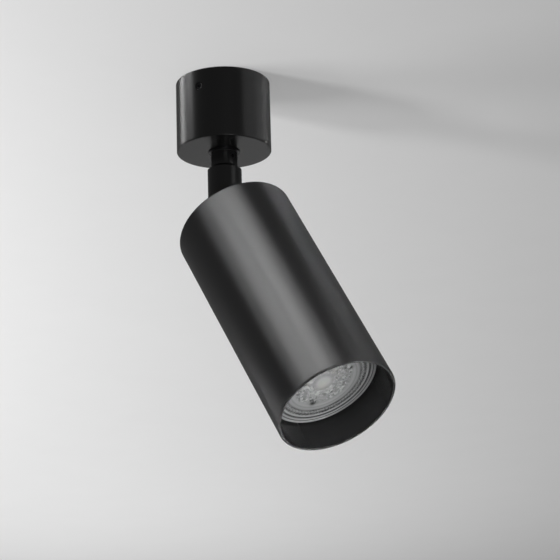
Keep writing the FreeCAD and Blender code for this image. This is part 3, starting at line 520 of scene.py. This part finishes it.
def canopy_cup():
    """Cup turned from one closed outline, with a rounded hole through its wall for each side screw.

    The wall is a grid of angle and height. Round each hole a square window of whole cells is left out of its outer
    and inner face. Rings of points fill it: ring t lies between the window's border and the hole's circle, both
    given by their offset across (x) and up (z), and its depth is the square root of radius squared minus x squared.
    """
    inner = CANOPY_R - CANOPY_WALL
    step = 2 * math.pi / CANOPY_COLUMNS
    cell = CANOPY_R * step
    corners = [
        (NIPPLE_HOLE_R, -CANOPY_HEIGHT, 0.25),
        (CANOPY_R, -CANOPY_HEIGHT, 0.4),
        (CANOPY_R, 0, 0.4),
        (inner, 0, 0.2),
        (inner, -CANOPY_HEIGHT + CANOPY_FLOOR, 0.8),
        (NIPPLE_HOLE_R, -CANOPY_HEIGHT + CANOPY_FLOOR, 0.2),
    ]
    outline, edge = rounded(corners)

    # Rows at the cells of the windows are put into the outer and the inner wall.
    window = -SIDE_HOLE_DROP + cell * np.arange(-HOLE_CELLS, HOLE_CELLS + 1)
    last_low = np.flatnonzero((outline[:, 0] == CANOPY_R) & (outline[:, 1] < window[0]))[-1]
    last_high = np.flatnonzero((np.abs(outline[:, 0] - inner) < 1e-9) & (outline[:, 1] > window[-1]))[-1]
    outer_rows = np.stack([0 * window + CANOPY_R, window], 1)
    inner_rows = np.stack([0 * window + inner, window[::-1]], 1)
    outline = np.concatenate([outline[:last_low + 1], outer_rows, outline[last_low + 1:last_high + 1], inner_rows,
                              outline[last_high + 1:]])
    plain = np.zeros(len(window))
    edge = np.concatenate([edge[:last_low + 1], plain, edge[last_low + 1:last_high + 1], plain, edge[last_high + 1:]])
    points, faces = turned(outline, CANOPY_COLUMNS)

    # The cells of the windows are left out, a quarter and three quarters of the way round.
    row, column = faces[:, 0] // CANOPY_COLUMNS, faces[:, 0] % CANOPY_COLUMNS
    first_outer, first_inner = last_low + 1, last_high + 1 + len(window)
    in_rows = ((row >= first_outer) & (row < first_outer + 2 * HOLE_CELLS)) | (
        (row >= first_inner) & (row < first_inner + 2 * HOLE_CELLS))
    quarter = CANOPY_COLUMNS // 4
    off_axis = np.minimum(np.abs(column + 0.5 - quarter), np.abs(column + 0.5 - 3 * quarter))
    faces = faces[~(in_rows & (off_axis < HOLE_CELLS))]

    # Points of a window's border, by cells across and up, and the rings from it through the wall.
    border = np.arange(-HOLE_CELLS, HOLE_CELLS)
    side = 0 * border + HOLE_CELLS
    across = np.concatenate([border, side, -border, -side])
    rise = np.concatenate([-side, border, side, -border])
    angle = np.arctan2(rise, across)
    turn = np.linspace(0, math.pi / 2, HOLE_STEPS)
    flat_r, half_r = SIDE_HOLE_R + SIDE_HOLE_SOFT + 0.1, SIDE_HOLE_R + 0.6
    radius = np.concatenate([[flat_r], SIDE_HOLE_R + SIDE_HOLE_SOFT * (1 - np.sin(turn))])
    depth = np.concatenate([[0], SIDE_HOLE_SOFT * (1 - np.cos(turn))])
    rings = []
    for surface, sign, order in ((CANOPY_R, -1, slice(None)), (inner, 1, slice(None, None, -1))):
        edge_x, edge_z = surface * np.sin(across * step), rise * cell
        wide = np.stack([edge_x, edge_z, np.sqrt(surface ** 2 - edge_x ** 2)], 1)
        half_x = (edge_x + half_r * np.cos(angle)) / 2
        half_z = (edge_z + half_r * np.sin(angle)) / 2
        middle = np.stack([half_x, half_z, np.sqrt(surface ** 2 - half_x ** 2)], 1)
        x, z = radius[:, None] * np.cos(angle), radius[:, None] * np.sin(angle)
        round_rings = np.stack([x, z, np.sqrt(surface ** 2 - x ** 2) + sign * depth[:, None]], 2)
        rings.append(np.concatenate([wide[None], middle[None], round_rings])[order])
    rings = np.concatenate(rings)
    hole_faces = grid_faces(len(rings), rings.shape[1])
    ring_points = rings.reshape(-1, 3)
    one_side = np.concatenate([np.zeros(3), np.ones(HOLE_STEPS)])
    ring_edge = np.repeat(np.concatenate([one_side, one_side[::-1]]), rings.shape[1])
    edges = [np.repeat(edge, CANOPY_COLUMNS)]
    for way in (1, -1):
        hole = np.stack([-way * ring_points[:, 0], way * ring_points[:, 2], ring_points[:, 1] - SIDE_HOLE_DROP], 1)
        faces = np.concatenate([faces, hole_faces + len(points)])
        points = np.concatenate([points, hole])
        edges.append(ring_edge)

    # Points inside the windows belong to no face any more.
    used, faces = np.unique(faces, return_inverse=True)
    piece("canopy_shell", points[used], faces.reshape(-1, 4), "canopy", "black_finish", ["canopy_cup"],
          np.concatenate(edges)[used], canopy_place)


# ---- head tube and end cap

# Painted light inside the tube: how much paler its inner wall is painted, in place of the light that falls into it.
INSIDE_PAINTED_LIGHT = -0.6


def head_tube():
    """Tube turned from one closed outline: outer wall, mouth, inner wall, top."""
    inner, bottom = HEAD_R - HEAD_WALL, HEAD_TOP - HEAD_LENGTH
    corners = [(HEAD_R, HEAD_TOP, 0.4), (HEAD_R, bottom, 0.45), (inner, bottom, 0.35), (inner, HEAD_TOP, 0.05)]
    outline, edge = rounded(corners)
    points, faces = turned(outline, TUBE_COLUMNS)
    # The inner wall is painted paler: painted light in place of the light that falls into the tube.
    painted_light_and_shade = np.where(outline[:, 0] < inner + 0.05, INSIDE_PAINTED_LIGHT, 0.0)
    piece("head_barrel", points, faces, "head", "black_finish", ["head_tube"], np.repeat(edge, TUBE_COLUMNS),
          head_place, np.repeat(painted_light_and_shade, TUBE_COLUMNS))


def head_cap():
    """Plate turned from one closed outline, with a soft outer edge that leaves a fine seam inside the tube."""
    low = HEAD_TOP - CAP_THICKNESS
    corners = [(CAP_R, HEAD_TOP, 0.35), (CAP_R, low, 0.1), (CAP_HOLE_R, low, 0.1), (CAP_HOLE_R, HEAD_TOP, 0.1)]
    outline, edge = rounded(corners)
    points, faces = turned(outline, CAP_COLUMNS)
    piece("head_cap", points, faces, "head", "black_finish", ["end_cap"], np.repeat(edge, CAP_COLUMNS), head_place)


# ---- lamp

# Outline of the lens behind its front face: radius and height. The last point lies at its axis.
LENS_BACK = [
    (LAMP_R, -112.0), (LAMP_R, -109.8), (LAMP_R - 0.1, LENS_SEAT), (LAMP_R - 2.2, LENS_SEAT), (LAMP_R - 2.2, -110.5),
    (12.5, -110.5), (12.2, -110.2), (11.2, -109.1), (10.9, -108.9), (0.06, -108.9),
]

# Rings of points on the lens's front: from a radius to a radius, and how far apart.
LENS_RINGS = [(0.06, 5.4, 0.15), (5.4, 14.4, 0.12), (14.4, 17.4, 0.16), (17.4, LAMP_R, 0.09)]

# Facets of the lens, coarse and fine: how many, how much they tilt, how much painted shade darkens them, from and to
# which radius.
FACETS = ((340, 0.2, 0.22, 4.4, 14.4), (900, 0.12, 0.14, 4.4, 16.0))
# A facet's painted shade grows with the cube of its tone from 0 to 1. Those below the glint tone get a painted glint, a
# bright highlight, instead.
PAINTED_SHADE_GAIN, PAINTED_GLINT_GAIN, PAINTED_GLINT_TONE = 1.5, 3.4, 0.13

# Ridges of the lens's outer belt and painted tones of the whole lens: radius, height outwards and tone. A tone above 0
# is painted shade, darker than the plain plastic, and one below 0 is painted light, brighter.
RIDGES = np.array([
    (0.0, 0.0, -0.1), (2.6, 0.0, 0.0), (4.2, 0.0, 0.3), (4.9, 0.0, 0.25), (5.6, 0.0, -0.1), (7.0, 0.0, -0.05),
    (8.4, 0.0, 0.05), (13.0, 0.0, 0.18), (13.9, 0.0, 0.15), (14.7, 0.0, -0.02), (15.3, 0.0, 0.12), (15.9, 0.0, 0.24),
    (16.6, 0.0, 0.02), (17.1, 0.0, 0.25), (17.6, 0.03, 0.72), (18.0, 0.0, 0.68), (18.5, 0.05, 0.25),
    (18.9, 0.0, 0.22), (19.5, 0.05, 0.72), (20.0, 0.0, 0.85), (20.4, 0.03, 0.5), (20.8, 0.12, -0.5),
    (21.1, 0.2, -0.55), (21.45, 0.16, 0.45), (21.9, 0.0, 0.95), (22.2, 0.0, 0.9), (22.5, 0.1, 0.3), (22.8, 0.28, -0.6),
    (23.1, 0.3, -0.5), (23.4, 0.16, 0.55), (23.7, 0.06, 0.8), (24.0, 0.2, 0.1), (24.3, 0.4, -0.35),
    (24.7, 0.4, -0.1), (25.0, 0.3, 0.5),
])

# Dark spots of painted shade on the lens, for what shows through it: place across (x and y), size and darkness.
PAINTED_SPOTS = (
    (-12.5, 3.6, 1.15, 0.95), (-4.2, 8.1, 0.8, 0.6), (1.7, 10.3, 0.75, 0.8), (11.1, 7.8, 0.9, 0.7),
    (-11.6, 2.0, 0.5, 0.5), (5.0, 5.2, 0.45, 0.3), (-5.6, 3.4, 0.5, 0.3), (8.6, 9.4, 0.5, 0.4),
)
# Limits of the lens's painted shade and painted light.
DARKEST_PAINTED_SHADE, BRIGHTEST_PAINTED_LIGHT = 0.97, -0.95
# Rise of the middle disc; pitch, depth and painted tone of the belt's waves; rise and painted tone of the ridges'
# pebbles.
DISC_RISE = 0.12
WAVE_PITCH, WAVE_DEPTH, WAVE_PAINTED_TONE = 0.95, 0.03, 0.1
PEBBLE_RISE, PEBBLE_PAINTED_TONE = 0.05, 0.45


def smooth_step(value, low, high):
    """0 below low, 1 above high, and 3t^2 - 2t^3 of the share t of the way between them."""
    t = np.clip((value - low) / (high - low), 0, 1)
    return t * t * (3 - 2 * t)


def belt_of(radius, start, end):
    """1 in a belt of the lens and 0 outside it, with a smooth step between the two radii of each border."""
    return smooth_step(radius, *start) * (1 - smooth_step(radius, *end))


def lens_relief(radius, angle):
    """Height of the lens's front over its flat face, and its painted light and shade there, at polar places in mm.

    Outwards from the middle: a raised disc; facets, each a plane through the nearest of many scattered seeds with a
    tilt and a painted tone of its own, some of them painted glints; a smooth belt with faint waves; then ridges, read
    from a table by radius, whose painted tone is broken up by crossed sines. Each belt is weighed by a smooth step at
    its borders. The spots are bells of painted shade, e to the minus distance squared, of a ragged size. All these
    tones are painted light and shade of what the clear lens reflects and lets through.
    """
    x, y = radius * np.cos(angle), radius * np.sin(angle)
    chance = np.random.default_rng(17)
    height, painted_light_and_shade = 0 * x, 0 * x
    for count, steep, dark, low, high in FACETS:
        seed_r = np.sqrt(chance.uniform(low ** 2, high ** 2, count))
        seed_a = chance.uniform(0, 2 * math.pi, count)
        seeds = np.stack([seed_r * np.cos(seed_a), seed_r * np.sin(seed_a)], 1)
        tilt = chance.normal(0, steep, (count, 2))
        painted_tone = chance.uniform(0, 1, count)
        near = np.concatenate([np.argmin((px[:, None] - seeds[:, 0]) ** 2 + (py[:, None] - seeds[:, 1]) ** 2, 1)
                               for px, py in zip(x, y)]).reshape(x.shape)
        height = height + (x - seeds[near, 0]) * tilt[near, 0] + (y - seeds[near, 1]) * tilt[near, 1]
        painted_glint = PAINTED_GLINT_GAIN * (painted_tone < PAINTED_GLINT_TONE) * smooth_step(painted_tone, -0.1, PAINTED_GLINT_TONE)
        painted_light_and_shade = painted_light_and_shade + dark * (PAINTED_SHADE_GAIN * painted_tone ** 3 - painted_glint)[near]
    faceted = belt_of(radius, (5.0, 5.4), (12.2, 14.2))
    smooth = belt_of(radius, (12.6, 14.0), (17.0, 17.6))
    rough = belt_of(radius, (17.4, 18.2), (20.4, 21.2))
    disc = 1 - smooth_step(radius, 4.8, 5.1)
    pebbles = np.sin(6.1 * x + 2.0 * np.sin(2.3 * y)) * np.sin(5.7 * y + 1.7 * np.sin(2.9 * x))
    wave = 0.5 - 0.5 * np.cos(2 * math.pi * radius / WAVE_PITCH)
    height = height * faceted + DISC_RISE * disc - WAVE_DEPTH * smooth * wave + PEBBLE_RISE * rough * pebbles
    height = height + np.interp(radius, RIDGES[:, 0], RIDGES[:, 1])
    uneven = 1 + 0.12 * np.sin(3 * angle + 1.1) + 0.12 * np.sin(11 * angle) * np.sin(radius)
    painted_light_and_shade = painted_light_and_shade * faceted + WAVE_PAINTED_TONE * smooth * wave * smooth_step(radius, 13.0, 16.5)
    painted_light_and_shade = painted_light_and_shade + np.interp(radius, RIDGES[:, 0], RIDGES[:, 2]) * uneven + PEBBLE_PAINTED_TONE * rough * pebbles
    for spot_x, spot_y, size, darkness in PAINTED_SPOTS:
        ragged = 1 + 0.25 * np.sin(5 * angle + spot_x) + 0.2 * np.sin(9 * (x + y))
        distance = np.hypot(x - spot_x, y - spot_y) / (size * ragged)
        painted_light_and_shade = painted_light_and_shade + darkness * np.exp(-distance ** 2)
    return height, np.clip(painted_light_and_shade, BRIGHTEST_PAINTED_LIGHT, DARKEST_PAINTED_SHADE)


def lamp_lens():
    """Front of the lamp as one closed surface turned from an outline, with the relief added to its front face and its
    painted light and shade kept on its points.

    A fan of triangles round a middle point closes each end at the axis.
    """
    front_r = np.concatenate([np.arange(*ring) for ring in LENS_RINGS] + [[LAMP_R]])
    outline = np.concatenate([np.stack([front_r, 0 * front_r + LENS_FACE], 1), LENS_BACK])
    points, faces = turned(outline, LENS_COLUMNS)
    height, painted_tone = lens_relief(*np.meshgrid(front_r, full_turn(LENS_COLUMNS), indexing="ij"))
    points[:height.size, 2] -= height.ravel()
    painted_light_and_shade = np.concatenate([painted_tone.ravel(), np.zeros(len(points) - painted_tone.size + 2)])
    faces = faces[faces[:, 0] // LENS_COLUMNS < len(outline) - 1]
    centres = np.stack([points[:LENS_COLUMNS].mean(0), points[-LENS_COLUMNS:].mean(0)])
    around = np.arange(LENS_COLUMNS)
    fans = [np.stack([start + around, start + (around + 1) % LENS_COLUMNS, 0 * around + len(points) + n], 1).tolist()
            for n, start in enumerate((0, len(points) - LENS_COLUMNS))]
    piece("lamp_face", np.concatenate([points, centres]), faces.tolist() + fans[0] + fans[1], "lamp", "lamp_clear",
          ["lamp_lens"], place=head_place, painted_light_and_shade=painted_light_and_shade, sharp=LENS_SHARP)


def led_chips():
    """Four light sources round the axis, each a square package with a low dished window.

    Ring k is a rounded square (a superellipse, each coordinate the signed power of cosine or sine) scaled to row k
    of the profile, which holds half widths and heights over the board.
    """
    profile = np.array([(1.5, 0), (1.5, 0.62), (1.44, 0.7), (1.2, 0.72), (1.12, 0.62), (0.6, 0.7), (0.02, 0.74)])
    squareness, first, count = 0.35, 45, 4
    angle = full_turn(LED_COLUMNS)
    x = np.sign(np.cos(angle)) * np.abs(np.cos(angle)) ** squareness
    y = np.sign(np.sin(angle)) * np.abs(np.sin(angle)) ** squareness
    size, drop = profile[:, :1], profile[:, 1:]
    flat = np.stack([size * x, size * y, LED_SEAT - drop + 0 * x], -1).reshape(-1, 3)
    faces = grid_faces(len(profile), LED_COLUMNS)
    points, every = [], []
    for n in range(count):
        turn = math.radians(first + 360 / count * n)
        c, s = math.cos(turn), math.sin(turn)
        out = flat[:, 0] + LED_RING_R
        points.append(np.stack([c * out - s * flat[:, 1], s * out + c * flat[:, 1], flat[:, 2]], 1))
        every.append(faces + n * len(flat))
    piece("led_packages", np.concatenate(points), np.concatenate(every), "lamp", "led_phosphor", ["lamp_led_chips"],
          place=head_place)


def lamp_housing():
    """Cup of the lamp turned from one closed outline with soft edges, one wall thick; its wide end holds the lens."""
    corners = [(12.0, -66.3, 0.3), (12.0, -73.3, 2.0), (23.4, -105.9, 3.0), (LAMP_R, -107.0, 0.5),
               (LAMP_R, LENS_SEAT, 0.15), (22.7, LENS_SEAT, 0.1), (22.7, -105.9, 0.2), (20.2, -105.9, 0.2),
               (20.2, -104.7, 0.3), (10.8, -73.3, 1.0), (10.8, -66.3, 0.1)]
    outline, edge = rounded(corners)
    points, faces = turned(outline, HOUSING_COLUMNS)
    piece("lamp_cup", points, faces, "lamp", "lamp_housing", ["lamp_shell"], np.repeat(edge, HOUSING_COLUMNS),
          head_place)


# ---- leads and their sleeve where they bend round the pivot


def bent_place(radius, offset_x, offset_y, columns, gap=0.0):
    """A round rod carried along an arc about the pivot's side, as its points and its faces.

    The arc starts straight down, reach above the pivot, and ends along the head's line, reach below it; its radius
    is reach over the tangent of half the tilt. The rod is offset from it across (x) and sideways (y), and stops a
    gap short of the arc's start.
    """
    arc_r = BEND_REACH / math.tan(TILT / 2)
    turn = np.linspace(gap / arc_r, TILT, BEND_ROWS)[:, None]
    angle = full_turn(columns)
    out = arc_r - (offset_x + radius * np.cos(angle))
    x = arc_r - out * np.cos(turn)
    z = PIVOT_Z + BEND_REACH - out * np.sin(turn)
    y = offset_y + radius * np.sin(angle) + 0 * turn
    points = np.stack([x, y, z], -1).reshape(-1, 3)
    return points, grid_faces(BEND_ROWS, columns)


def blend_round_pivot(made):
    """Bakes the piece's place into its mesh, in metres."""
    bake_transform(made)


def knuckle_sleeve():
    """Sleeve wall: an outer and an inner rod, joined by a ring at each end."""
    outer, faces = bent_place(SLEEVE_R, 0, 0, SLEEVE_COLUMNS)
    inner, _ = bent_place(SLEEVE_R - SLEEVE_WALL, 0, 0, SLEEVE_COLUMNS)
    count, ring = len(outer), np.arange(SLEEVE_COLUMNS)
    after = (ring + 1) % SLEEVE_COLUMNS
    ends = [np.stack([start + ring, start + after, start + after + count, start + ring + count], 1)
            for start in (0, count - SLEEVE_COLUMNS)]
    every = np.concatenate([faces, faces[:, ::-1] + count] + ends)
    made = piece("knuckle_braid", np.concatenate([outer, inner]), every, None, "glass_sleeve", ["knuckle_lead_sleeve"])
    blend_round_pivot(made)


def knuckle_leads():
    """Live, earth and neutral leads inside the sleeve, a third of a turn apart, each a closed rod.

    A hair's gap at the top leaves room for the upper leads, which stay above them with the canopy.
    """
    for n, slot in enumerate(("live_insulation", "earth_insulation", "neutral_insulation")):
        angle = 2 * math.pi / 3 * (n - 1)
        across, sideways = BUNDLE_R * math.cos(angle), BUNDLE_R * math.sin(angle)
        points, faces = bent_place(LEAD_R, across, sideways, LEAD_COLUMNS, LEAD_GAP)
        ends = [list(range(LEAD_COLUMNS)), list(range(len(points) - LEAD_COLUMNS, len(points)))]
        made = piece(slot.replace("insulation", "bend"), points, faces.tolist() + ends, None, slot, ["knuckle_leads"])
        blend_round_pivot(made)


canopy_cup()
head_tube()
head_cap()
lamp_lens()
led_chips()
lamp_housing()
knuckle_sleeve()
knuckle_leads()

# ---- stage, in metres

STAGE_REACH, STAGE_SIDES = 8, 96
CEILING_LIFT, FLOOR_Z = 0.00005, -1.3


def stage_paint(name, patch):
    """Matt white paint with faint patches of a size in millimetres."""
    return finish(name, (0.8, 0.8, 0.8), 0.85, amount=0.03, patch=patch, grain=1.5, depth=0.03, wear=0.0, dust=0.0)


def stage_sheet(name, points, faces, material):
    """A flat sheet of the stage. It throws no light onto the fitting and isn't mirrored in it."""
    mesh = bpy.data.meshes.new(name)
    mesh.from_pydata(points, [], faces)
    mesh.materials.append(material)
    sheet = put(bpy.data.objects.new(name, mesh))
    sheet.visible_glossy = sheet.visible_diffuse = False
    return sheet


def ceiling():
    """The ceiling, a round sheet: seen only from below, and out of the way of the lights that are above it.

    It lies a hair above the canopy's rim.
    """
    paint = stage_paint("ceiling_paint", 40.0)
    see_through(paint, add(paint.node_tree, "ShaderNodeNewGeometry").outputs["Backfacing"], 1.0)
    angle = -full_turn(STAGE_SIDES)
    points = np.stack([STAGE_REACH * np.cos(angle), STAGE_REACH * np.sin(angle), 0 * angle + CEILING_LIFT], 1)
    sheet = stage_sheet("ceiling", points, [list(range(STAGE_SIDES))], paint)
    sheet.visible_shadow = False
    return sheet


def floor():
    """The floor, a square sheet far below."""
    corners = [(x * STAGE_REACH, y * STAGE_REACH, FLOOR_Z) for x, y in ((-1, -1), (1, -1), (1, 1), (-1, 1))]
    return stage_sheet("floor", corners, [(0, 1, 2, 3)], stage_paint("floor_paint", 60.0))


# ---- lights. Places are in metres, azimuths and elevations in degrees, powers in watts.

HEAD_AIM, CANOPY_AIM = (0.03, 0.0, -0.09), (0.0, 0.0, -0.017)
HEAD_BOX_AWAY = 1.0
# A box above this elevation would light the stem too much, so it is kept off it.
STEM_LIMIT = 20
ROOM_ON_FITTING, ROOM_SEEN = 0.13, 0.75


def direction(azimuth, elevation):
    """Unit vector from an azimuth and an elevation in degrees."""
    a, e = math.radians(azimuth), math.radians(elevation)
    return np.array([math.cos(a) * math.cos(e), math.sin(a) * math.cos(e), math.sin(e)])


def light_only(light, objects, state="INCLUDE"):
    """Limits a light to some objects, or keeps it off them."""
    lit = bpy.data.collections.new(light.name + "_on")
    for thing in objects:
        lit.objects.link(thing)
    light.light_linking.receiver_collection = lit
    for entry in lit.collection_objects:
        entry.light_linking.link_state = state


def soft_box(name, azimuth, elevation, distance, size, power, aim):
    """Square soft light at a direction and a distance from where it aims."""
    data = bpy.data.lights.new(name, "AREA")
    data.size, data.energy = size, power
    data.cycles.use_multiple_importance_sampling = False
    made = put(bpy.data.objects.new(name, data))
    away = direction(azimuth, elevation)
    made.location = np.array(aim) + away * distance
    made.rotation_euler = Vector(away).to_track_quat("Z", "Y").to_euler()
    made.visible_camera = False
    return made


def round_light(name, place, radius, power, shadow):
    """Round soft light that shines all ways, with or without shadows."""
    data = bpy.data.lights.new(name, "POINT")
    data.shadow_soft_size, data.energy, data.use_shadow = radius, power, shadow
    made = put(bpy.data.objects.new(name, data))
    made.location = place
    made.visible_camera = False
    return made


stage = [ceiling(), floor()]
cad_nodes = frame["nodes"].values()
canopy_pieces = [bpy.data.objects["canopy_shell"]]
canopy_pieces += [node for node in cad_nodes if node["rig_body"] == "canopy" and node.name != "canopy_cup"]
stem_pieces = [node for node in cad_nodes if node["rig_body"] == "stem"]

# Soft boxes for the head, all equally far away: azimuth, elevation, size and power.
for number, (azimuth, elevation, size, power) in enumerate((
    (-96, 36, 0.36, 1.55), (-66, 47, 0.36, 1.25), (-87, 49, 0.36, 1.0), (-73, 60, 0.36, 0.78), (-50, 62, 0.36, 0.8),
    (-113, 28, 0.36, 0.6), (-21, 52, 0.3, 0.35), (20, -50, 0.45, 1.7), (20, -18, 0.45, 1.2), (-120, -10, 0.4, 1.1),
    (-30, -10, 0.45, 0.85), (-60, -35, 0.45, 0.6), (92, -48, 0.45, 0.95), (20, 50, 0.45, 0.5), (-150, -10, 0.4, 0.46),
    (-175, -10, 0.4, 0.33), (20, 18, 0.45, 0.3), (80, 50, 0.45, 0.22), (110, 50, 0.45, 0.2), (140, -18, 0.45, 0.2),
    (50, 50, 0.45, 0.16), (140, 18, 0.45, 0.15), (110, -50, 0.45, 0.14),
)):
    away_from = stage + canopy_pieces + (stem_pieces if elevation > STEM_LIMIT else [])
    box = soft_box(f"head_box_{number}", azimuth, elevation, HEAD_BOX_AWAY, size, power, HEAD_AIM)
    light_only(box, away_from, "EXCLUDE")

# Soft boxes for the canopy alone: azimuth, elevation, distance, size and power.
for number, (azimuth, elevation, distance, size, power) in enumerate((
    (-160, 30, 0.8, 0.26, 0.55), (-158, 16, 0.8, 0.26, 0.4), (-133, 32, 0.8, 0.26, 0.85), (-30, -10, 1.0, 0.45, 1.5),
    (80, 18, 1.0, 0.45, 0.34), (50, 18, 1.0, 0.45, 0.33), (20, 18, 1.0, 0.45, 0.3), (140, -18, 1.0, 0.45, 0.2),
)):
    box = soft_box(f"canopy_box_{number}", azimuth, elevation, distance, size, power, CANOPY_AIM)
    light_only(box, canopy_pieces)

# Lights of the stage alone: place, radius and power. Two of them cast the fitting's shadow on the ceiling.
for name, place, radius, power, shadow in (
    ("ceiling_key", (-0.2, -0.84, -0.32), 0.09, 14.0, True),
    ("ceiling_far", (-0.9, 0.6, -0.6), 0.2, 8.2, False),
    ("ceiling_left", (-0.65, -0.1, -0.6), 0.2, 11.2, False),
    ("ceiling_low_left", (-0.9, -0.7, -0.35), 0.2, 13.0, False),
    ("ceiling_near", (-0.3, -0.4, -0.35), 0.15, 3.8, True),
):
    light_only(round_light(name, place, radius, power, shadow), stage)

# Daylight that shows the floor alone.
daylight = bpy.data.lights.new("floor_daylight", "SUN")
daylight.energy, daylight.angle, daylight.use_shadow = 2.1, 0.5, False
light_only(put(bpy.data.objects.new("floor_daylight", daylight)), stage[1:])

# Pale surroundings, which light the fitting less than they show.
world = bpy.data.worlds.new("room")
world.use_nodes = True
room = world.node_tree
background = room.nodes["Background"]
seen = add(room, "ShaderNodeLightPath").outputs["Is Camera Ray"]
feed(room, background.inputs["Strength"], ramp_between(room, seen, 0, 1, ROOM_ON_FITTING, ROOM_SEEN))
background.inputs["Color"].default_value = (0.95, 0.95, 0.95, 1)
bpy.context.scene.world = world
bpy.context.scene.view_settings.view_transform = "Standard"

# ---- camera at the photo's view: it looks along ahead, turned about Z by its yaw, pitched up, then rolled

CAMERA_PLACE = (0.71138, -0.65573, -0.40776)
YAW, PITCH, ROLL = 0.801046781, 0.310599827, -0.0296069455

camera_data = bpy.data.cameras.new("photo_view")
camera_data.lens, camera_data.sensor_width = 142.87, 36.0
camera_data.clip_start, camera_data.clip_end = 0.01, 50.0
camera = put(bpy.data.objects.new("photo_view", camera_data))
level = np.array([math.cos(YAW), math.sin(YAW), 0])
ahead = direction(90 + math.degrees(YAW), math.degrees(PITCH))
up = np.cross(level, ahead)
across, rise = level * math.cos(ROLL) + up * math.sin(ROLL), up * math.cos(ROLL) - level * math.sin(ROLL)
turning = Matrix(np.stack([across, rise, -ahead], 1).tolist()).to_4x4()
camera.matrix_world = Matrix.Translation(CAMERA_PLACE) @ turning
bpy.context.scene.camera = camera
